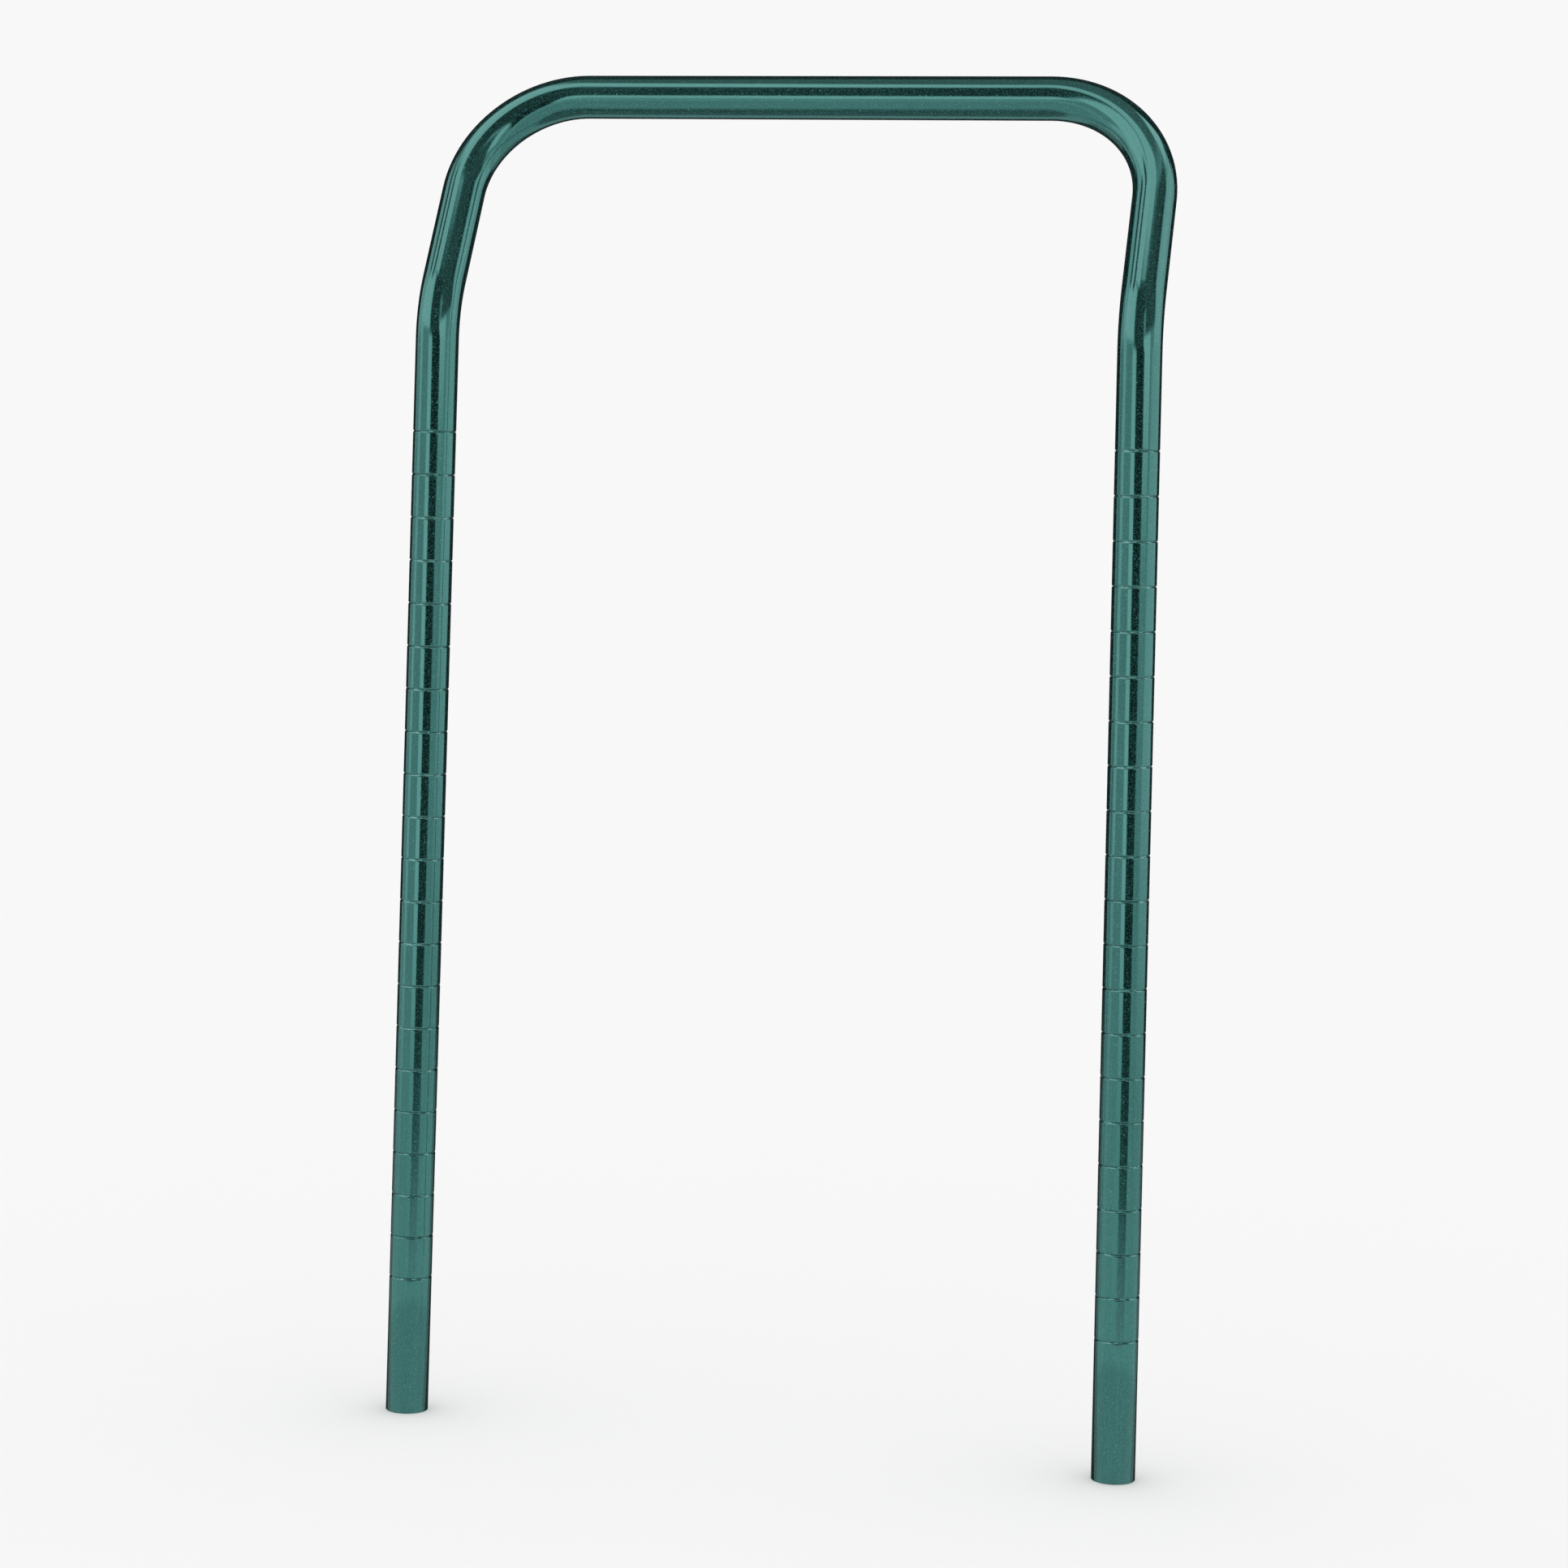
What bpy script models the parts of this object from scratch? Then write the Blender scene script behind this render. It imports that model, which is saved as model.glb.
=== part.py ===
"""Push handle and post pair for a wire-shelf utility cart.

One steel tube is bent into a U. Its two legs are the cart's posts and carry a rolled groove at every
shelf height. Above the grooves each leg leans back, and the corners bring both legs to a level grip.
A turned steel socket for a caster or foot stem sits inside each lower end of the tube.

The frame: Z is up, X runs along the grip, and the handle leans towards +Y. The origin is midway between
the two legs, at the height of their lower ends.
"""

import math

import bmesh
import bpy
from mathutils import Matrix, Vector

# The tube, in metres
TUBE_RADIUS = 0.0127
WALL = 0.0015
BORE_RADIUS = TUBE_RADIUS - WALL
TUBE_SIDES = 16

# The bends: radii are those of the tube's middle line
POST_SPACING = 0.4191  # between the legs, where they meet the kinks above them
LEG_LENGTH = 0.6445  # the straight, grooved stretch
KINK_RADIUS = 0.0762
KINK_ANGLE = math.radians(28)
SLOPE_LENGTH = 0.060  # the straight stretch between a kink and a corner
CORNER_RADIUS = 0.0675
SPLAY = math.radians(0.75)  # a corner stops this far short of square, so the legs open out a little
CORNER_ANGLE = math.pi / 2 - SPLAY
CORNER_STEPS = 12
KINK_STEPS = 5

# The rolled grooves that hold the shelves
GROOVE_COUNT = 21
GROOVE_PITCH = 0.0254
FIRST_GROOVE = 0.08255  # above the leg's lower end
GROOVE_WIDTH = 0.0016
GROOVE_DEPTH = 0.0005

# The stem sockets
FIT_GAP = 0.0003
SOCKET_RADIUS = BORE_RADIUS * math.cos(math.pi / TUBE_SIDES) - FIT_GAP
SOCKET_LENGTH = 0.028
SOCKET_WAIST = 0.0012  # how much thinner the socket is between its two lands
LAND_LENGTH = 0.007
STEM_RADIUS = 0.0048
SOCKET_CHAMFER = 0.0008
SOCKET_STEPS = 24

CORE_OVERRUN = 0.010  # how far the tool that bores the tube stands out of each end


def clear_scene():
    for obj in list(bpy.data.objects):
        bpy.data.objects.remove(obj)


def new_collection(name):
    collection = bpy.data.collections.new(name)
    bpy.context.scene.collection.children.link(collection)
    return collection


def metal(name, colour, metallic, roughness):
    material = bpy.data.materials.new(name)
    material.use_nodes = True
    shader = material.node_tree.nodes["Principled BSDF"]
    shader.inputs["Base Color"].default_value = (*colour, 1.0)
    shader.inputs["Metallic"].default_value = metallic
    shader.inputs["Roughness"].default_value = roughness
    return material


class Bender:
    """Feeds and bends a line the way a tube bender does, and keeps the points that it passes."""

    def __init__(self, heading, side):
        self.place = Vector((0, 0, 0))
        self.heading = Vector(heading).normalized()
        self.side = Vector(side).normalized()
        self.points = [self.place.copy()]

    def feed(self, length):
        self.place = self.place + self.heading * length
        self.points.append(self.place.copy())

    def bend(self, angle, radius, steps):
        """Turns the heading towards the side it faces, along an arc."""
        axis = self.heading.cross(self.side)
        centre = self.place + self.side * radius
        start = self.place - centre
        for step in range(1, steps + 1):
            self.points.append(centre + Matrix.Rotation(angle * step / steps, 3, axis) @ start)
        turn = Matrix.Rotation(angle, 3, axis)
        self.place = self.points[-1].copy()
        self.heading = turn @ self.heading
        self.side = turn @ self.side

    def roll(self, quarter_turns):
        """Turns the tube in the bender's jaws, so that the next bend is in another plane."""
        turn = Matrix.Rotation(quarter_turns * math.pi / 2, 3, self.heading)
        self.side = turn @ self.side


def grip_to_leg(grip_half):
    """Bends half of the tube, from the grip's centre to where the right leg begins."""
    slope = Vector((0, math.sin(KINK_ANGLE), math.cos(KINK_ANGLE)))
    line = Bender((1, 0, 0), -slope)
    line.feed(grip_half)
    line.bend(CORNER_ANGLE, CORNER_RADIUS, CORNER_STEPS)
    line.feed(SLOPE_LENGTH)
    line.roll(1)
    line.bend(KINK_ANGLE, KINK_RADIUS, KINK_STEPS)
    return line


def half_line():
    """The middle line from the grip's centre down to the right foot, and the leg's heading downwards."""
    bends_alone = grip_to_leg(0).place.x
    line = grip_to_leg(POST_SPACING / 2 - bends_alone)
    line.feed(LEG_LENGTH)
    drop = Vector((0, line.place.y, line.place.z))
    return [point - drop for point in line.points], line.heading


def groove_stations():
    """(height above the foot, share of the tube's radius) down the leg: two shoulders and a floor each."""
    floor = 1 - GROOVE_DEPTH / TUBE_RADIUS
    stations = []
    for number in reversed(range(GROOVE_COUNT)):
        height = FIRST_GROOVE + number * GROOVE_PITCH
        stations.append((height + GROOVE_WIDTH / 2, 1.0))
        stations.append((height, floor))
        stations.append((height - GROOVE_WIDTH / 2, 1.0))
    return stations


def whole_line(half, right_tail):
    """Both halves, from the left foot over the grip to the right foot, as (point, share of radius)."""
    right = [(point, 1.0) for point in half[1:-1]] + right_tail
    left = [(Vector((-point.x, point.y, point.z)), share) for point, share in reversed(right)]
    return left + right


def tube_along(name, stations, radius, collection):
    """A round bar along the stations, as a closed mesh."""
    curve = bpy.data.curves.new(name, "CURVE")
    curve.dimensions = "3D"
    curve.bevel_depth = radius
    curve.bevel_resolution = (TUBE_SIDES - 4) // 2
    curve.use_fill_caps = True
    spline = curve.splines.new("POLY")
    spline.points.add(len(stations) - 1)
    for spline_point, (place, share) in zip(spline.points, stations):
        spline_point.co = (*place, 1.0)
        spline_point.radius = share
    drawn = bpy.data.objects.new(name + "_line", curve)
    collection.objects.link(drawn)
    bpy.context.view_layer.update()

    evaluated = drawn.evaluated_get(bpy.context.evaluated_depsgraph_get())
    mesh = bpy.data.meshes.new_from_object(evaluated)
    mesh.name = name
    shape = bmesh.new()
    shape.from_mesh(mesh)
    bmesh.ops.remove_doubles(shape, verts=shape.verts, dist=0.00001)
    bmesh.ops.recalc_face_normals(shape, faces=shape.faces)
    shape.to_mesh(mesh)
    shape.free()
    solid = bpy.data.objects.new(name, mesh)
    solid.matrix_world = drawn.matrix_world
    collection.objects.link(solid)
    bpy.data.objects.remove(drawn)
    return solid


def smooth(obj, angle=math.radians(35)):
    obj.data.shade_smooth()
    obj.data.set_sharp_from_angle(angle=angle)


def build_tube(parts, cutters):
    """The bent tube: a grooved bar, bored by a plain bar along the same line."""
    half, down = half_line()
    foot = half[-1]
    leg = [(foot - down * height, share) for height, share in groove_stations()]
    tube = tube_along("handle_tube", whole_line(half, leg + [(foot, 1.0)]), TUBE_RADIUS, parts)
    tail = [(foot + down * CORE_OVERRUN, 1.0)]
    core = tube_along("tube_core", whole_line(half, tail), BORE_RADIUS, cutters)
    core.hide_render = True
    core.display_type = "WIRE"
    bore = tube.modifiers.new("bore", "BOOLEAN")
    bore.operation = "DIFFERENCE"
    bore.solver = "EXACT"
    bore.object = core
    tube.data.materials.append(metal("green_coated_steel", (0.060, 0.200, 0.175), 1.0, 0.16))
    smooth(tube)
    return foot, down


def socket_profile():
    """The socket's section, (radius, height), down its outer side and back up its bore."""
    outer, inner, cut = SOCKET_RADIUS, STEM_RADIUS, SOCKET_CHAMFER
    waist = outer - SOCKET_WAIST
    top = SOCKET_LENGTH
    return [
        (outer - cut, top),
        (outer, top - cut),
        (outer, top - LAND_LENGTH),
        (waist, top - LAND_LENGTH - SOCKET_WAIST),
        (waist, LAND_LENGTH + SOCKET_WAIST),
        (outer, LAND_LENGTH),
        (outer, 0),
        (inner + cut, 0),
        (inner, cut),
        (inner, top - cut),
        (inner + cut, top),
    ]


def build_socket(name, foot, down, material, parts):
    """A turned socket, standing on the plane of the leg's lower end."""
    profile = socket_profile()
    mesh = bpy.data.meshes.new(name)
    section = bmesh.new()
    corners = [section.verts.new((radius, 0, height)) for radius, height in profile]
    for corner, following in zip(corners, corners[1:] + corners[:1]):
        section.edges.new((corner, following))
    section.to_mesh(mesh)
    section.free()
    socket = bpy.data.objects.new(name, mesh)
    parts.objects.link(socket)
    turned = socket.modifiers.new("turned", "SCREW")
    turned.steps = SOCKET_STEPS
    turned.render_steps = SOCKET_STEPS
    turned.use_merge_vertices = True
    turned.merge_threshold = 0.00001
    turned.use_smooth_shade = False
    socket.location = foot
    socket.rotation_mode = "QUATERNION"
    socket.rotation_quaternion = Vector((0, 0, 1)).rotation_difference(-down)
    mesh.materials.append(material)
    return socket


def main():
    clear_scene()
    parts = new_collection("cart_push_handle")
    cutters = new_collection("cutters")
    foot, down = build_tube(parts, cutters)
    zinc = metal("zinc_plated_steel", (0.58, 0.58, 0.56), 1.0, 0.35)
    for name, side in (("left_stem_socket", -1), ("right_stem_socket", 1)):
        own_foot = Vector((side * foot.x, foot.y, foot.z))
        own_down = Vector((side * down.x, down.y, down.z))
        build_socket(name, own_foot, own_down, zinc, parts)


main()
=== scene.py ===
# %% [markdown]
# # A cart's push handle, from one bent tube
#
# The object is the handle and two of the posts of a wire-shelf cart. A workshop rolls grooves into a
# straight steel tube, bends it into a U, plates it bright and covers it with a clear green coating.
# A turned socket is pressed into each lower end for a caster's stem.
#
# The script builds the tube the same way that the workshop does. It starts with a ring, pushes it along,
# and swings it round each bend. Sizes are in metres, Z is up, and the handle leans towards +Y.

import math

import bmesh
import bpy
from mathutils import Matrix, Vector


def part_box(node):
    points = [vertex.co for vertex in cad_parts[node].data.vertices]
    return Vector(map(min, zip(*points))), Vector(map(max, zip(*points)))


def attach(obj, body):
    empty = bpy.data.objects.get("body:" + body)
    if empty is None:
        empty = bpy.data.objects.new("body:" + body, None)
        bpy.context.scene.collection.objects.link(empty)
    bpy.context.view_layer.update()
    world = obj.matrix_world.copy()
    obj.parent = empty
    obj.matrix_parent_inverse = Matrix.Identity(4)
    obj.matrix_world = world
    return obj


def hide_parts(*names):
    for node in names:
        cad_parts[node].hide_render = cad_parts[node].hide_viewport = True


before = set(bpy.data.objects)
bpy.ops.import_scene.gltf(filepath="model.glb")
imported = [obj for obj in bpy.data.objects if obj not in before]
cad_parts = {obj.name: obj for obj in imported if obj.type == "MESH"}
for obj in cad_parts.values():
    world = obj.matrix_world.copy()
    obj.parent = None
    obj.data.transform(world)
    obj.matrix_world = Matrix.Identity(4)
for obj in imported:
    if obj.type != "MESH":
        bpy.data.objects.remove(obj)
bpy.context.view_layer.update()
print("frame nodes:", sorted(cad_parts))

# %% [markdown]
# ## The bends
#
# A tube bender works from a short table: feed so much tube, bend by this angle, turn the tube in the jaws,
# feed again. These are that table's numbers, the same ones that the frame's tube was made with. Bend radii
# are those of the tube's middle line. A bent tube springs back a little when it is let go, so the corners
# stop short of square and the legs open out slightly towards the feet.

# %% The bending table
TUBE_RADIUS = 0.0127
WALL = 0.0015
POST_SPACING = 0.4191
LEG_LENGTH = 0.6445
KINK_RADIUS = 0.0762
KINK_ANGLE = math.radians(28)
SLOPE_LENGTH = 0.060
CORNER_RADIUS = 0.0675
SPRING_BACK = math.radians(0.75)
CORNER_ANGLE = math.radians(90) - SPRING_BACK
BENT_LENGTH = CORNER_RADIUS * CORNER_ANGLE + KINK_RADIUS * KINK_ANGLE
print("tube in one side's two bends:", round(BENT_LENGTH, 4))

# %% The grooves
GROOVE_COUNT = 21
GROOVE_PITCH = 0.0254
FIRST_GROOVE = 0.08255
GROOVE_HALF_WIDTH = 0.0008
GROOVE_DEPTH = 0.0005
GROOVE_STEPS = 8
SHOULDER = 0.0003
print("grooves run up to", round(FIRST_GROOVE + (GROOVE_COUNT - 1) * GROOVE_PITCH, 4), "above the foot")

# %% [markdown]
# ## A ring that walks along the tube
#
# A long bent pipe could be a curve with a bevel, but then the grooves would need hundreds of control
# points. Here one ring of edges is extruded for each straight and spun for each bend, and the ring can
# shrink and grow again on the way, which is what a grooving roller does to it. Every ring also remembers
# where it would be if the tube were still straight. The coating's pattern is drawn on that unbent tube, so
# that it follows the metal round the bends.

# %% The walking ring
SIDES = 64


class WalkingRing:
    """The open end of a tube that is being made, with the mesh behind it."""

    def __init__(self, place, heading, side, radius):
        self.mesh = bmesh.new()
        self.unbent = self.mesh.verts.layers.float_vector.new("unbent")
        self.groove = self.mesh.verts.layers.float.new("groove")
        self.place, self.heading, self.side = Vector(place), Vector(heading), Vector(side)
        self.run = 0.0
        across = self.heading.cross(self.side)
        facing = Matrix((self.side, across, self.heading)).transposed().to_4x4()
        circle = bmesh.ops.create_circle(self.mesh, radius=radius, segments=SIDES)
        self.verts = circle["verts"]
        self.edges = list(self.mesh.edges)
        for vert in self.verts:
            vert[self.unbent] = vert.co
        bmesh.ops.transform(self.mesh, matrix=Matrix.Translation(self.place) @ facing, verts=self.verts)

    def take(self, geometry):
        """The newest points and edges become the open end."""
        self.verts = [item for item in geometry if isinstance(item, bmesh.types.BMVert)]
        self.edges = [item for item in geometry if isinstance(item, bmesh.types.BMEdge)]

    def stamp(self, groove=0.0):
        """Notes the ring's place on the unbent tube, and how deep in a groove it is."""
        for vert in self.verts:
            around = vert[self.unbent]
            vert[self.unbent] = Vector((around.x, around.y, self.run))
            vert[self.groove] = groove

    def feed(self, length, groove=0.0):
        """Pushes the ring straight on."""
        grown = bmesh.ops.extrude_edge_only(self.mesh, edges=self.edges)
        self.take(grown["geom"])
        bmesh.ops.translate(self.mesh, vec=self.heading * length, verts=self.verts)
        self.place = self.place + self.heading * length
        self.run += length
        self.stamp(groove)

    def swell(self, factor):
        """Grows or shrinks the ring about its own middle."""
        bmesh.ops.scale(
            self.mesh, vec=(factor,) * 3, space=Matrix.Translation(-self.place), verts=self.verts
        )

    def bend(self, angle, radius, steps):
        """Swings the ring towards its side, round a centre one bend radius away."""
        axis = self.heading.cross(self.side)
        centre = self.place + self.side * radius
        turn = Matrix.Rotation(angle / steps, 3, axis)
        for _ in range(steps):
            swung = bmesh.ops.spin(
                self.mesh, geom=self.verts + self.edges, cent=centre, axis=axis,
                angle=angle / steps, steps=1, use_duplicate=False,
            )
            self.take(swung["geom_last"])
            self.place = centre + turn @ (self.place - centre)
            self.heading, self.side = turn @ self.heading, turn @ self.side
            self.run += radius * angle / steps
            self.stamp()

    def roll(self, quarter_turns):
        """Turns the tube in the jaws, so that the next bend goes another way."""
        turn = Matrix.Rotation(quarter_turns * math.pi / 2, 3, self.heading)
        self.side = turn @ self.side


print("corners in one ring:", SIDES)

# %% [markdown]
# ## From the grip to the foot
#
# The tube is the same on both sides of the grip's middle, so one half is walked and then mirrored. The walk
# goes along the grip, round the corner, down the short slope, through the kink and down the leg.
#
# The frame's box says how high the grip is, so the ring starts there. How long the grip must be for the
# posts to stand at their spacing isn't known yet, so a short trial walk measures how far the bends reach
# outwards.

# %% Walk the bends
CORNER_STEPS = 28
KINK_STEPS = 14
TRIAL_GRIP = 0.01


def walk_bends(start, grip_half):
    slope = Vector((0, math.sin(KINK_ANGLE), math.cos(KINK_ANGLE)))
    ring = WalkingRing(start, (1, 0, 0), -slope, TUBE_RADIUS)
    ring.feed(grip_half)
    ring.bend(CORNER_ANGLE, CORNER_RADIUS, CORNER_STEPS)
    ring.feed(SLOPE_LENGTH)
    ring.roll(1)
    ring.bend(KINK_ANGLE, KINK_RADIUS, KINK_STEPS)
    return ring


tube_low, tube_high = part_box("handle_tube")
grip_centre = Vector((0, tube_high.y - TUBE_RADIUS, tube_high.z - TUBE_RADIUS))
trial = walk_bends(grip_centre, TRIAL_GRIP)
GRIP_HALF = POST_SPACING / 2 - (trial.place.x - TRIAL_GRIP)
trial.mesh.free()
ring = walk_bends(grip_centre, GRIP_HALF)
print("half of the grip:", round(GRIP_HALF, 4), "leg starts at", [round(c, 4) for c in ring.place])

# %% [markdown]
# ## Rolling the grooves
#
# A groove in the real tube is pressed in by a narrow roller, so its shoulders are soft. A cosine gives that
# shape: flat at both shoulders and at the floor. One extra ring just outside each shoulder keeps the long
# plain stretches truly straight, because otherwise the smooth shading of a groove would spread along them.

# %% Walk the leg


def roll_groove(ring):
    """From one shoulder, over the floor, to the other shoulder."""
    step = 2 * GROOVE_HALF_WIDTH / GROOVE_STEPS
    radius = TUBE_RADIUS
    for number in range(1, GROOVE_STEPS + 1):
        share = 0.5 - 0.5 * math.cos(2 * math.pi * number / GROOVE_STEPS)
        ring.feed(step, groove=share)
        wanted = TUBE_RADIUS - GROOVE_DEPTH * share
        ring.swell(wanted / radius)
        radius = wanted


def walk_leg(ring):
    reach = GROOVE_HALF_WIDTH + SHOULDER
    above_foot = LEG_LENGTH
    for number in reversed(range(GROOVE_COUNT)):
        groove = FIRST_GROOVE + number * GROOVE_PITCH
        ring.feed(above_foot - groove - reach)
        ring.feed(SHOULDER)
        roll_groove(ring)
        ring.feed(SHOULDER)
        above_foot = groove - reach
    return above_foot


left_to_feed = walk_leg(ring)
print("rings on one side:", len(ring.mesh.verts) // SIDES)

# %% [markdown]
# ## The cut end
#
# The tube is sawn square and the sharp edge is taken off, so the last ring is a quarter of a millimetre
# smaller. Then the half is mirrored, the two halves are merged at the grip's middle, and the place that
# each point remembers on the unbent tube is turned round on the left side.
#
# The wall comes from a Solidify modifier that grows inwards, which also gives each groove the low ridge
# that rolling leaves on the inside. Its material offsets give the bore and the sawn rim the second
# material, so that the coating stops at the cut. The last line compares the finished foot with the
# frame's.
#
# An offset can't follow a curve that is tighter than itself. So the inner face folds over itself beside
# each groove, out of sight in the bore, and the rim slopes inwards instead of lying flat. A section with an
# inner line of its own would mend both.

# %% Finish the tube
DEBURR = 0.00025
MERGE = 0.00001


def finish_tube(ring, left_to_feed):
    ring.feed(left_to_feed - DEBURR)
    ring.feed(DEBURR)
    ring.swell((TUBE_RADIUS - DEBURR) / TUBE_RADIUS)
    foot, down = ring.place.copy(), ring.heading.copy()
    mesh = ring.mesh
    bmesh.ops.mirror(
        mesh, geom=mesh.verts[:] + mesh.edges[:] + mesh.faces[:], matrix=Matrix.Identity(4),
        merge_dist=MERGE, axis="X",
    )
    for vert in mesh.verts:
        if vert.co.x < 0:
            along = vert[ring.unbent]
            vert[ring.unbent] = Vector((along.x, along.y, -along.z))
    bmesh.ops.remove_doubles(mesh, verts=mesh.verts, dist=MERGE)
    bmesh.ops.recalc_face_normals(mesh, faces=mesh.faces)
    return mesh, foot, down


def piece_from(mesh, name):
    data = bpy.data.meshes.new(name)
    mesh.to_mesh(data)
    mesh.free()
    made = bpy.data.objects.new(name, data)
    bpy.context.scene.collection.objects.link(made)
    data.shade_smooth()
    return made


tube_mesh, FOOT, DOWN = finish_tube(ring, left_to_feed)
tube = piece_from(tube_mesh, "bent_tube")
wall = tube.modifiers.new("wall", "SOLIDIFY")
wall.thickness = WALL
wall.offset = -1
wall.use_even_offset = True
wall.material_offset = 1
wall.material_offset_rim = 1
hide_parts("handle_tube")
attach(tube, "root")
print("foot at", [round(c, 5) for c in FOOT], "frame's lowest point", round(tube_low.z, 5))

# %% [markdown]
# ## The stem sockets
#
# A caster's stem can't hold in a thin tube, so a steel socket is pressed into each lower end. It is turned
# on a lathe: two lands that fit the tube, a waist between them, and a bore with a countersunk mouth.
#
# A turned part is a section and an axis, so a section of a few corners is drawn and spun round. The corners
# that the lathe tool would leave sharp then get a fine bevel, which is what catches the light.

# %% The socket's section
PRESS_GAP = 0.00005
SOCKET_RADIUS = TUBE_RADIUS - WALL - PRESS_GAP
SOCKET_LENGTH = 0.028
LAND_LENGTH = 0.007
WAIST = 0.0012
STEM_RADIUS = 0.0048
COUNTERSINK = 0.0008


def socket_section():
    """(radius, height) pairs, up the outside and back down the bore."""
    waist = SOCKET_RADIUS - WAIST
    return [
        (SOCKET_RADIUS, 0),
        (SOCKET_RADIUS, LAND_LENGTH),
        (waist, LAND_LENGTH + WAIST),
        (waist, SOCKET_LENGTH - LAND_LENGTH - WAIST),
        (SOCKET_RADIUS, SOCKET_LENGTH - LAND_LENGTH),
        (SOCKET_RADIUS, SOCKET_LENGTH - COUNTERSINK),
        (SOCKET_RADIUS - COUNTERSINK, SOCKET_LENGTH),
        (STEM_RADIUS + COUNTERSINK, SOCKET_LENGTH),
        (STEM_RADIUS, SOCKET_LENGTH - COUNTERSINK),
        (STEM_RADIUS, COUNTERSINK),
        (STEM_RADIUS + COUNTERSINK, 0),
    ]


print("corners in the section:", len(socket_section()))

# %% Turn and fit the sockets
SOCKET_SIDES = 64
EDGE_BREAK = 0.00015
SHARP = math.radians(30)


def turn_socket(name, foot, down):
    mesh = bmesh.new()
    corners = [mesh.verts.new((radius, 0, height)) for radius, height in socket_section()]
    section = [mesh.edges.new(pair) for pair in zip(corners, corners[1:] + corners[:1])]
    bmesh.ops.spin(
        mesh, geom=corners + section, cent=(0, 0, 0), axis=(0, 0, 1), angle=2 * math.pi,
        steps=SOCKET_SIDES, use_merge=True, use_duplicate=False,
    )
    bmesh.ops.recalc_face_normals(mesh, faces=mesh.faces)
    sharp = [edge for edge in mesh.edges if edge.calc_face_angle(0) > SHARP]
    bmesh.ops.bevel(
        mesh, geom=sharp, affect="EDGES", offset=EDGE_BREAK, segments=2, profile=0.5, material=-1
    )
    lathe = mesh.verts.layers.float_vector.new("on_the_lathe")
    for vert in mesh.verts:
        vert[lathe] = vert.co
    turn = Vector((0, 0, 1)).rotation_difference(-down).to_matrix().to_4x4()
    bmesh.ops.transform(mesh, matrix=Matrix.Translation(foot) @ turn, verts=mesh.verts)
    made = piece_from(mesh, name)
    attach(made, "root")
    return made


LEFT_FOOT = Vector((-FOOT.x, FOOT.y, FOOT.z))
LEFT_DOWN = Vector((-DOWN.x, DOWN.y, DOWN.z))
right_socket = turn_socket("right_socket", FOOT, DOWN)
left_socket = turn_socket("left_socket", LEFT_FOOT, LEFT_DOWN)
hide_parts("right_stem_socket")
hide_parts("left_stem_socket")
print("faces in one socket:", len(right_socket.data.polygons))

# %% [markdown]
# ## Sums in a shader
#
# A pattern is a sum on numbers that the surface knows, such as a place on the unbent tube. Written as
# nodes one by one, such sums are hard to read. This small class stands for one value that flows through
# the shader. Adding or multiplying two of them adds the Math node, and every other kind of node comes from
# the one method called node.

# %% A value that does sums


def connect(node, inputs):
    """Links the sockets that get a Signal, and sets the others."""
    for name, value in inputs.items():
        if isinstance(value, Signal):
            value.tree.links.new(value.plug, node.inputs[name])
        else:
            node.inputs[name].default_value = value


def place_stops(ramp, stops):
    while len(ramp.elements) < len(stops):
        ramp.elements.new(1.0)
    for element, (position, colour) in zip(ramp.elements, stops):
        element.position, element.color = position, colour


SPECK_CORE = 0.3


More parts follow.
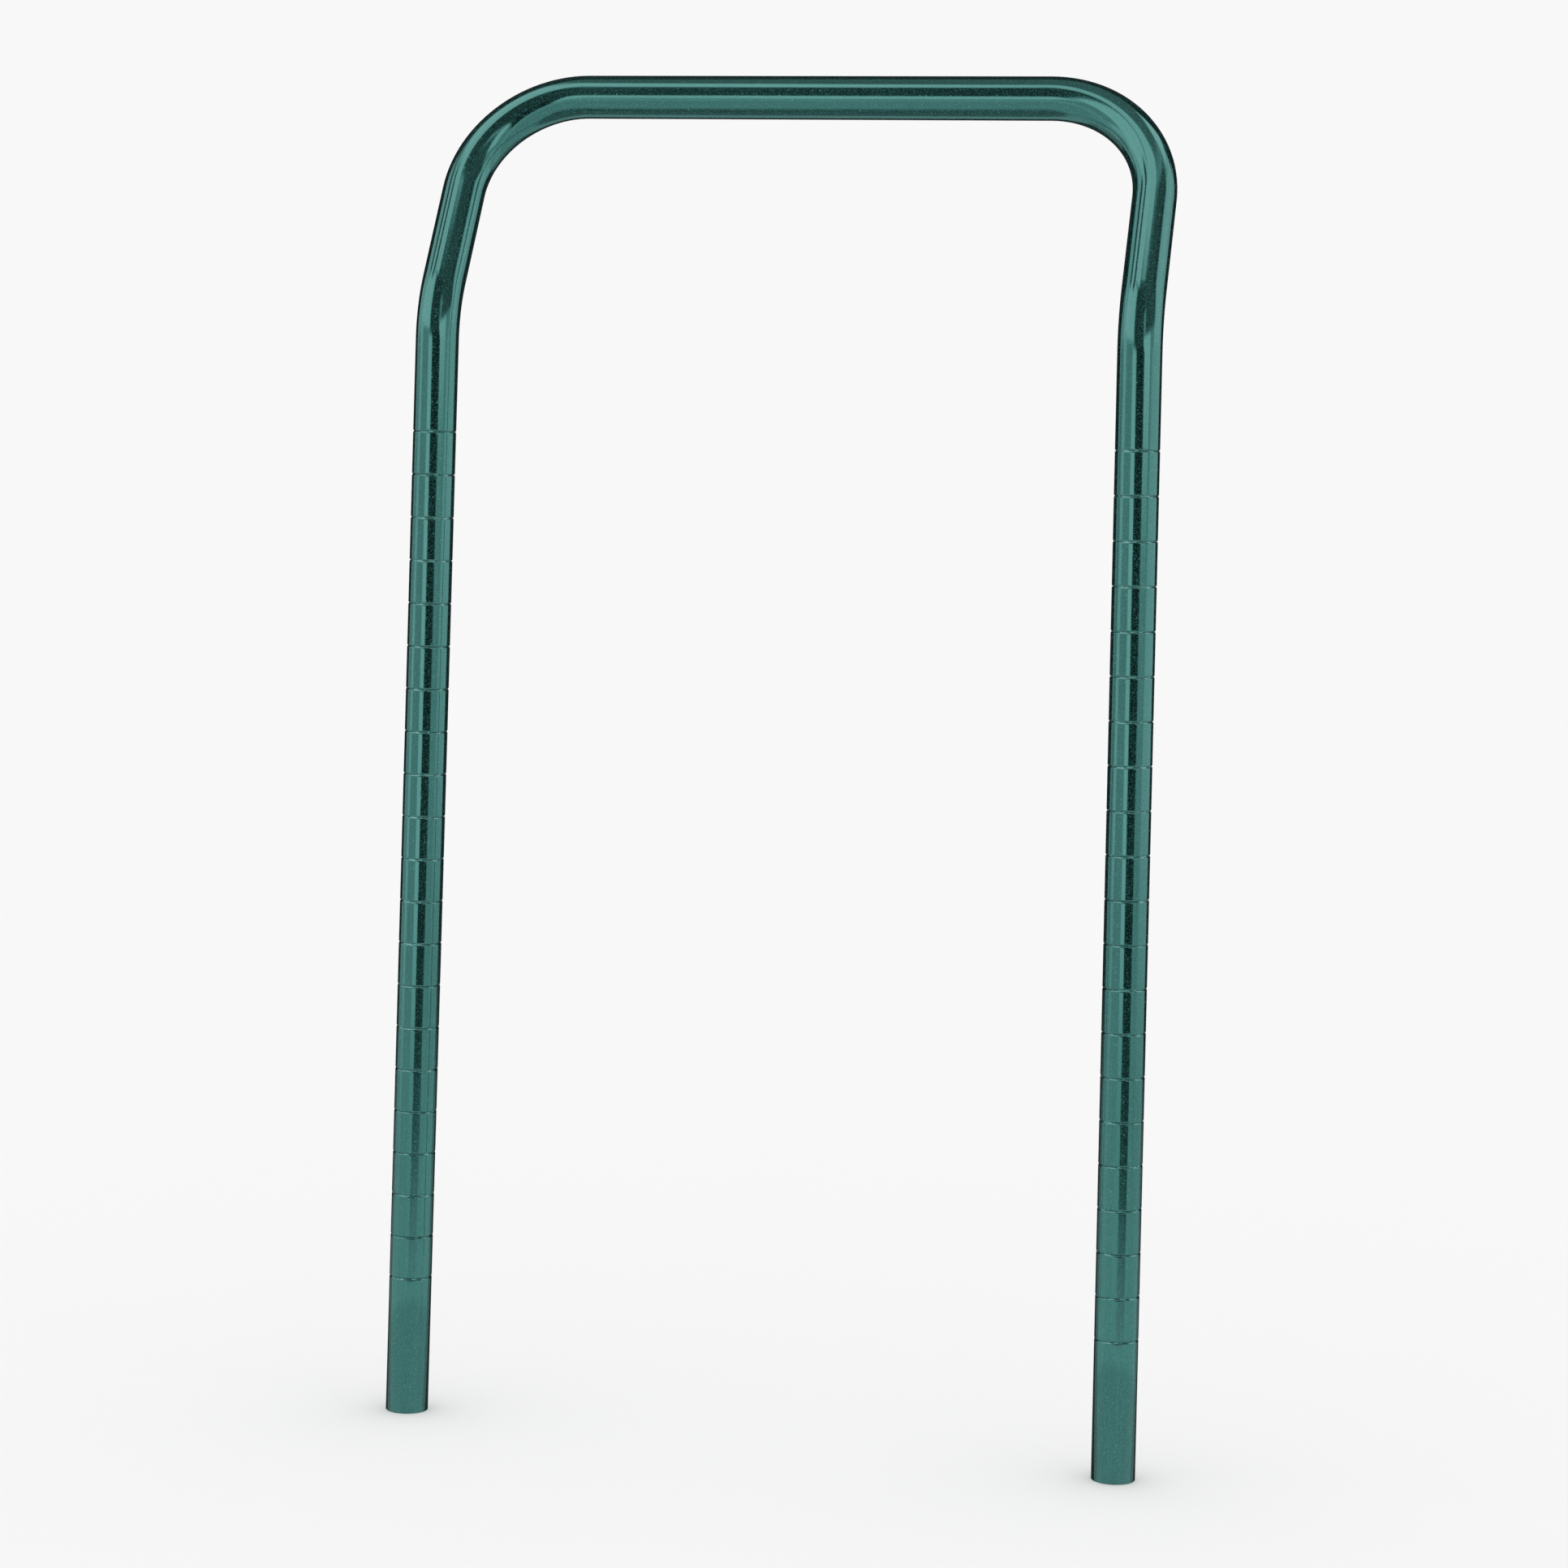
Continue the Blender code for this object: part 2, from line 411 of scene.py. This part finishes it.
class Signal:
    """One output socket of a node, or the empty start of a node tree."""

    def __init__(self, tree, plug=None):
        self.tree, self.plug = tree, plug

    def node(self, kind, settings=None, inputs=None, output=0):
        """Adds a node: its settings are set first, then the values or links of its sockets."""
        made = self.tree.nodes.new(kind)
        for name, value in (settings or {}).items():
            if name == "stops":
                place_stops(made.color_ramp, value)
            else:
                setattr(made, name, value)
        connect(made, inputs or {})
        return Signal(self.tree, made.outputs[output])

    def math(self, operation, *values):
        return self.node("ShaderNodeMath", {"operation": operation}, dict(enumerate(values)))

    def __add__(self, other):
        return self.math("ADD", self, other)

    def __radd__(self, other):
        return self.math("ADD", other, self)

    def __sub__(self, other):
        return self.math("SUBTRACT", self, other)

    def __rsub__(self, other):
        return self.math("SUBTRACT", other, self)

    def __mul__(self, other):
        return self.math("MULTIPLY", self, other)

    def __rmul__(self, other):
        return self.math("MULTIPLY", other, self)

    def __truediv__(self, other):
        return self.math("DIVIDE", self, other)

    def rising(self, low, high):
        """0 below low, 1 above high and smooth in between."""
        settings = {"interpolation_type": "SMOOTHSTEP"}
        return self.node("ShaderNodeMapRange", settings, {"Value": self, "From Min": low, "From Max": high})

    def within(self, low, high, soft):
        """1 from low to high and 0 outside, with soft edges."""
        off_centre = self.math("ABSOLUTE", self - (low + high) / 2)
        half = (high - low) / 2
        return 1 - off_centre.rising(half - soft, half + soft)

    def mixed(self, first, second):
        """The first colour where this is 0 and the second where it is 1."""
        return self.node("ShaderNodeMix", {"data_type": "RGBA"}, {0: self, 6: first, 7: second}, 2)

    def vector_math(self, operation, *values, output=0):
        return self.node("ShaderNodeVectorMath", {"operation": operation}, dict(enumerate(values)), output)

    def stretched(self, x, y, z):
        """This place, with each of its axes scaled."""
        return self.vector_math("MULTIPLY", self, (x, y, z))

    def length(self):
        return self.vector_math("LENGTH", self, output="Value")

    def along(self, direction):
        return self.vector_math("DOT_PRODUCT", self, direction, output="Value")

    def axis(self, name):
        return self.node("ShaderNodeSeparateXYZ", None, {"Vector": self}, name)

    def noise(self, scale, detail=2.0, roughness=0.5):
        """Smooth noise from 0 to 1, about scale bumps to the metre."""
        inputs = {"Vector": self, "Scale": scale, "Detail": detail, "Roughness": roughness}
        return self.node("ShaderNodeTexNoise", None, inputs, "Fac")

    def specks(self, scale, radius, least):
        """1 at scattered points, 0 beyond the radius. A point counts if its own number is above least."""
        near = self.node("ShaderNodeTexVoronoi", None, {"Vector": self, "Scale": scale}, "Distance")
        number = Signal(self.tree, near.plug.node.outputs["Color"]).axis("X")
        return (1 - near.rising(radius * SPECK_CORE, radius)) * self.math("GREATER_THAN", number, least)


def new_material(name):
    """A material, its shader node and a Signal to start sums from."""
    material = bpy.data.materials.new(name)
    material.use_nodes = True
    return material, material.node_tree.nodes["Principled BSDF"], Signal(material.node_tree)


print("a Signal can:", [name for name in vars(Signal) if not name.startswith("_")])

# %% [markdown]
# ## The green coating
#
# Under the coating the steel is bright and mirror-like, and the coating tints whatever it reflects. So the
# base is a metal with a deep green colour, under a thin clear coat that adds its own faint, untinted
# shine. A real mirror turns white where it is seen at a glancing angle. The green film doesn't let it, and
# a tint on the glancing reflection does the same.
#
# Up close the surface is not perfect. Drawing the tube leaves hair-fine lines along it, and the coating
# has a slight orange peel, a few specks of dust, and a fine haze that shows where the reflection is dark.
# Haze and dust scatter light instead of mirroring it, so they are less metallic.
#
# In a groove the shoulders are painted paler, a painted highlight for the light line that they catch. The
# floor is painted dark, a painted shade for its hollow, with short pale dashes of painted glint on it. All
# of this is drawn on the unbent tube, in metres.

# %% Colours of the coating
BARE_GREEN = (0.048, 0.255, 0.232, 1)
PALE_GREEN = (0.066, 0.300, 0.274, 1)
# painted highlight and painted glint in the grooves, and also the real paler colour of dust and haze
GLINT_DUST_AND_HAZE_GREEN = (0.150, 0.430, 0.395, 1)
# painted shade for the floor of each groove
PAINTED_SHADE_GREEN = (0.025, 0.150, 0.136, 1)
GLANCING_TINT = (0.45, 0.62, 0.60, 1)
POLISH = 0.06
RELIEF = 0.000016
print("relief of the coating in micrometres:", round(RELIEF * 1e6, 1))

# %% What the coating's surface does


def coating_texture(unbent):
    """The fine patterns of the coating, each from 0 to 1."""
    return {
        "lines": unbent.stretched(1, 1, 0.012).noise(700, 3, 0.6),
        "peel": unbent.stretched(1, 1, 0.6).noise(420, 2),
        "clouds": unbent.stretched(1, 1, 0.25).noise(45, 3),
        "grain": unbent.noise(2600, 1),
        "dust": unbent.specks(330, radius=0.16, least=0.55),
        "haze": unbent.noise(1500, 2).rising(0.48, 0.68),
        # dashes that place the painted glint on the groove floors
        "wear": unbent.noise(230, 2).rising(0.50, 0.60),
    }


def coating_colour(texture, groove, groove_floor, painted_floor_glint):
    """The plain tube, then painted highlights on a groove's shoulders, painted shade and dashes of painted
    glint on its floor, and dust and haze.
    """
    tone = texture["lines"] * 0.5 + texture["clouds"] * 0.3 + texture["grain"] * 0.2
    plain = tone.rising(0.30, 0.70).mixed(BARE_GREEN, PALE_GREEN)
    # groove * (1 - groove) peaks at a quarter, half-way down the shoulder, so 4 brings the peak up to 1
    # painted highlight: the groove's shoulders are painted paler for the light line that they catch
    shoulder = groove * (1 - groove) * 4 * texture["clouds"].rising(0.35, 0.6)
    shoulder_highlighted = shoulder.mixed(plain, GLINT_DUST_AND_HAZE_GREEN)
    # painted shade: each groove's floor is painted dark green where its hollow lies in shade
    groove_shaded = groove_floor.mixed(shoulder_highlighted, PAINTED_SHADE_GREEN)
    # painted glint: short pale dashes on the groove's floor
    with_floor_glint = painted_floor_glint.mixed(groove_shaded, GLINT_DUST_AND_HAZE_GREEN)
    return (texture["dust"] * 0.6 + texture["haze"] * 0.15).mixed(with_floor_glint, GLINT_DUST_AND_HAZE_GREEN)


def coating_bump(start, texture):
    """Fine relief: mostly lines and peel, with the specks of dust standing proud."""
    smooth = texture["lines"] * 0.5 + texture["peel"] * 0.5
    height = smooth + texture["grain"] * 0.12 + texture["dust"] * 1.5
    inputs = {"Strength": 1.0, "Distance": RELIEF, "Height": height}
    return start.node("ShaderNodeBump", None, inputs, "Normal")


# %% Make the coating


def coated_steel():
    material, shader, start = new_material("coated_steel")
    unbent = start.node("ShaderNodeAttribute", {"attribute_name": "unbent"}, output="Vector")
    groove = start.node("ShaderNodeAttribute", {"attribute_name": "groove"}, output="Fac")
    texture = coating_texture(unbent)
    groove_floor = groove.rising(0.55, 0.95)
    # painted glint: pale, less metallic dashes on the groove floors
    painted_floor_glint = groove_floor * texture["wear"]
    connect(shader, {
        "Base Color": coating_colour(texture, groove, groove_floor, painted_floor_glint),
        "Roughness": POLISH + texture["lines"] * 0.05 + texture["grain"] * 0.05 + groove * 0.08,
        "Metallic": 1 - texture["haze"] * 0.20 - texture["dust"] * 0.25 - painted_floor_glint * 0.45,
        "Normal": coating_bump(start, texture),
        "Specular Tint": GLANCING_TINT,
        "Coat Weight": 1.0,
        "Coat Roughness": 0.04,
    })
    return material


tube.data.materials.append(coated_steel())
print("coating nodes:", len(tube.data.materials[0].node_tree.nodes))

# %% [markdown]
# ## Bare steel inside the tube, and turned steel in the sockets
#
# The green coating stops at the cut, so the sawn rim and the bore are plain plated steel, a little mottled
# and with the marks of drawing along them. The sockets were turned, so their fine lines run round the axis.
# A line round an axis depends only on the distance from it and on the height, so both are worked out from
# each point's place on the lathe, which was stored before the socket was set into the leg.

# %% Make the two steels
PLATED = (0.50, 0.52, 0.54, 1)
DULL = (0.27, 0.29, 0.30, 1)
TURNED_BRIGHT = (0.66, 0.67, 0.66, 1)
TURNED_DULL = (0.42, 0.43, 0.42, 1)
TOOL_MARK = 0.00002


def drawn(start):
    """A mottle, and fine lines along the tube."""
    unbent = start.node("ShaderNodeAttribute", {"attribute_name": "unbent"}, output="Vector")
    return unbent.noise(240, 3), unbent.stretched(1, 1, 0.01).noise(1500, 2)


def turned(start):
    """A mottle, and fine lines round the lathe's axis."""
    place = start.node("ShaderNodeAttribute", {"attribute_name": "on_the_lathe"}, output="Vector")
    radius = place.stretched(1, 1, 0).length()
    section = start.node("ShaderNodeCombineXYZ", None, {"X": radius, "Y": place.axis("Z")})
    return place.noise(320, 3), section.noise(4500, 2)


def steel(name, pattern, bright, dull, smoothest, roughest, depth):
    """Plated steel: the pattern shades it between two greys, and roughens and lifts it."""
    material, shader, start = new_material(name)
    mottle, lines = pattern(start)
    bump_inputs = {"Strength": depth, "Distance": TOOL_MARK, "Height": lines}
    connect(shader, {
        "Base Color": (mottle * 0.6 + lines * 0.4).rising(0.3, 0.7).mixed(bright, dull),
        "Roughness": smoothest + (roughest - smoothest) * (mottle * 0.4 + lines * 0.6),
        "Normal": start.node("ShaderNodeBump", None, bump_inputs, "Normal"),
        "Metallic": 1.0,
    })
    return material


drawn_steel = steel("drawn_steel", drawn, PLATED, DULL, smoothest=0.28, roughest=0.50, depth=0.5)
turned_steel = steel(
    "turned_steel", turned, TURNED_BRIGHT, TURNED_DULL, smoothest=0.16, roughest=0.36, depth=0.7
)
tube.data.materials.append(drawn_steel)
for socket in (left_socket, right_socket):
    socket.data.materials.append(turned_steel)
print("materials:", sorted(material.name for material in bpy.data.materials))

# %% [markdown]
# ## The camera
#
# A long lens from a little above the middle of the object, turned to its right side, keeps the two legs
# nearly parallel and still shows that the grip leans back. It is rolled by a degree and a half.

# %% The camera
LENS = 86.2
SENSOR_WIDTH = 36
AZIMUTH = math.radians(15.15)
ELEVATION = math.radians(5.42)
ROLL = math.radians(1.53)
DISTANCE = 2.182
AIM = Vector((0.0095, 0.0, 0.392))


def place_camera():
    back = Vector(
        (
            math.sin(AZIMUTH) * math.cos(ELEVATION),
            -math.cos(AZIMUTH) * math.cos(ELEVATION),
            math.sin(ELEVATION),
        )
    )
    level = Vector((math.cos(AZIMUTH), math.sin(AZIMUTH), 0))
    upright = back.cross(level)
    right = level * math.cos(ROLL) + upright * math.sin(ROLL)
    up = upright * math.cos(ROLL) - level * math.sin(ROLL)
    facing = Matrix((right, up, back)).transposed().to_4x4()
    camera = bpy.data.objects.new("camera", bpy.data.cameras.new("camera"))
    bpy.context.scene.collection.objects.link(camera)
    camera.data.lens = LENS
    camera.data.sensor_width = SENSOR_WIDTH
    camera.matrix_world = Matrix.Translation(AIM + back * DISTANCE) @ facing
    bpy.context.scene.camera = camera
    return camera


camera = place_camera()
print("camera at", [round(c, 3) for c in camera.location])

# %% [markdown]
# ## What the tube reflects
#
# A bright tube shows whatever stands around it, so to light it is to decide what it reflects. Most of this
# room is an even, pale sweep, with a paler band low down, between a dim ceiling and a dim floor. Soft boxes
# stand to the left and right and hang overhead. The space behind the tube is dark, down to the dim feet of
# its walls, and draws a dark outline along both edges. The camera stands in a dark gap that leans to the
# left, and that gap is the dark line down the middle of each leg.
#
# Each card below is a soft-edged patch of the room, given by the directions that it covers, in degrees.
# Azimuth is counted from the camera, positive to its right. Lean says how far the patch shifts to the left
# for each degree of height. Later cards lie over earlier ones.

# %% The cards
PALE_SWEEP = 0.46
STUDIO_CARDS = {
    # name: azimuth from, to, elevation from, to, lean, softness, brightness
    "dim ceiling": (-180, 180, 66, 100, 0, 4, 0.22),
    "dim floor": (-190, 190, -100, -62, 0, 6, 0.16),
    "pale low band": (-190, 190, -20, -11, 0, 2.5, 0.58),
    "wall behind": (-190, -138, -40, 66, 0, 3, 0.03),
    "wall behind, right": (136, 190, -40, 66, 0, 3, 0.03),
    "wall's dim foot, left": (-141, -117, -40, -8, 0, 3, 0.26),
    "wall's dim foot, right": (118, 141, -40, -8, 0, 3, 0.26),
    "dark behind, left": (-151, -123, -10, 66, 0, 2, 0.01),
    "dark behind, right": (123, 144, -10, 66, 0, 2, 0.01),
    "dark corner, left": (-170, -115, 26, 58, 0, 3, 0.04),
    "left edge strip": (-123, -114, -9, 16, 0, 2, 0.45),
    "left box, far side": (-122, -88, 4, 35, 0, 4, 0.72),
    "left soft box": (-96, -30, 9, 47, 0, 2.5, 0.96),
    "left box's lower lamp": (-94, -78, -9, 10, 0, 4, 0.80),
    "gap's bright edge": (-40, -18, -9, 5, 1, 2, 0.93),
    "right soft box": (69, 114, 2, 43, 0, 4, 0.82),
    "right box, far side": (108, 123, 2, 24, 0, 3, 0.66),
    "right box's lower edge": (60, 117, -7, 4, 0, 4, 0.72),
    "grey roof": (-38, 73, 15, 57, 0, 2.5, 0.11),
    "roof's dark seam": (58, 70, 33, 44, 0, 3, 0.04),
    "lamp beside the gap": (12, 49, 0, 14, 0, 2, 0.95),
    "top of that lamp": (6, 20, 13, 31, 0, 2.5, 0.50),
    "camera's gap, low": (-20, 21, -12, 9, 1, 1.5, 0.02),
    "camera's gap, high": (-35, 14, 6, 49, 0.2, 4, 0.06),
    "left overhead box": (-109, -60, 48, 67, 0, 2.5, 1.03),
    "overhead box": (-66, 3, 57, 67, 0, 1.5, 0.98),
    "overhead box's lip": (-62, -34, 50, 60, 0, 2, 0.97),
    "right overhead box": (86, 124, 45, 69, 0, 3, 1.03),
    "gap by the right box": (113, 136, 30, 43, 0, 3, 0.04),
    "gap by the left box": (-80, -70, 40, 51, 0, 2, 0.03),
    "second gap, left": (-103, -93, 34, 43, 0, 2, 0.05),
}
print("cards in the studio:", len(STUDIO_CARDS))

# %% [markdown]
# ## Only reflections see the cards
#
# The camera and the floor see plain white light instead, so the background stays clean and the shadows stay
# soft. The Light Path node tells the kinds of ray apart. The light that reaches the floor is divided by the
# floor's own paleness, so that the lit floor comes out as bright as the backdrop behind it.
#
# A brighter card is also a little warmer, because the lamps in the soft boxes are warmer than the room
# around them. The ramp holds green and blue a little low and lets red rise with the brightness, and the
# strength makes up for what the ramp takes away.

# %% Light the room
FLOOR_ALBEDO = 0.85
BACKDROP = 0.94
LOWERED = 0.84
WARMTH = [(0.6, (LOWERED, LOWERED, LOWERED, 1)), (1.0, (1, LOWERED, LOWERED, 1))]
WHITE = (1, 1, 1, 1)
TO_THE_RIGHT = (math.cos(AZIMUTH), math.sin(AZIMUTH), 0)
TO_THE_CAMERA = (math.sin(AZIMUTH), -math.cos(AZIMUTH), 0)


def covered_by(card, azimuth, elevation):
    """1 where the card is and 0 where it isn't."""
    left, right, low, high, lean, soft, _ = card
    shifted = azimuth + elevation * lean if lean else azimuth
    return shifted.within(left, right, soft) * elevation.within(low, high, soft)


def brightness_of_the_room(look):
    azimuth = look.math("ARCTAN2", look.along(TO_THE_RIGHT), look.along(TO_THE_CAMERA)) * math.degrees(1)
    elevation = look.math("ARCSINE", look.axis("Z")) * math.degrees(1)
    level = PALE_SWEEP
    for card in STUDIO_CARDS.values():
        covered = covered_by(card, azimuth, elevation)
        level = level * (1 - covered) + covered * card[-1]
    return level


def light_the_room():
    world = bpy.data.worlds.new("studio")
    bpy.context.scene.world = world
    world.use_nodes = True
    start = Signal(world.node_tree)
    level = brightness_of_the_room(start.node("ShaderNodeTexCoord", output="Generated"))
    lamps = start.node("ShaderNodeValToRGB", {"stops": WARMTH}, {"Fac": level})
    glossy = start.node("ShaderNodeLightPath", output="Is Glossy Ray")
    seen = start.node("ShaderNodeLightPath", output="Is Camera Ray")
    even = BACKDROP * (seen + (1 - seen) / FLOOR_ALBEDO)
    connect(world.node_tree.nodes["Background"], {
        "Color": glossy.mixed(WHITE, lamps),
        "Strength": level / LOWERED * glossy + even * (1 - glossy),
    })


light_the_room()
bpy.context.scene.view_settings.view_transform = "Standard"
print("world nodes:", len(bpy.context.scene.world.node_tree.nodes))

# %% [markdown]
# ## The floor
#
# A wide pale floor catches the soft shadow of the two feet. It is clear from below, so that the lower ends
# can be looked at too. Reflections don't see it, and it holds no light back from below, because the room's
# own sweep already stands for it.

# %% Lay the floor
FLOOR_SIZE = 12.0
FLOOR_COLOUR = (FLOOR_ALBEDO, FLOOR_ALBEDO, FLOOR_ALBEDO, 1)


def pale_floor():
    material, shader, start = new_material("pale_floor")
    connect(shader, {"Base Color": FLOOR_COLOUR, "Roughness": 1.0, "Specular IOR Level": 0.0})
    underside = start.node("ShaderNodeNewGeometry", output="Backfacing")
    clear = start.node("ShaderNodeBsdfTransparent")
    matt = Signal(material.node_tree, shader.outputs["BSDF"])
    surface = start.node("ShaderNodeMixShader", None, {0: underside, 1: matt, 2: clear})
    connect(material.node_tree.nodes["Material Output"], {"Surface": surface})
    return material


def lay_floor(height):
    mesh = bmesh.new()
    bmesh.ops.create_grid(mesh, x_segments=1, y_segments=1, size=FLOOR_SIZE / 2)
    bmesh.ops.translate(mesh, vec=(0, 0, height), verts=mesh.verts)
    floor = piece_from(mesh, "studio_floor")
    floor.data.materials.append(pale_floor())
    floor.visible_glossy = False
    floor.visible_shadow = False
    return floor


floor = lay_floor(tube_low.z)
print("floor at", round(tube_low.z, 5))

# %% [markdown]
# The new pieces must fill the same box as the frame's.
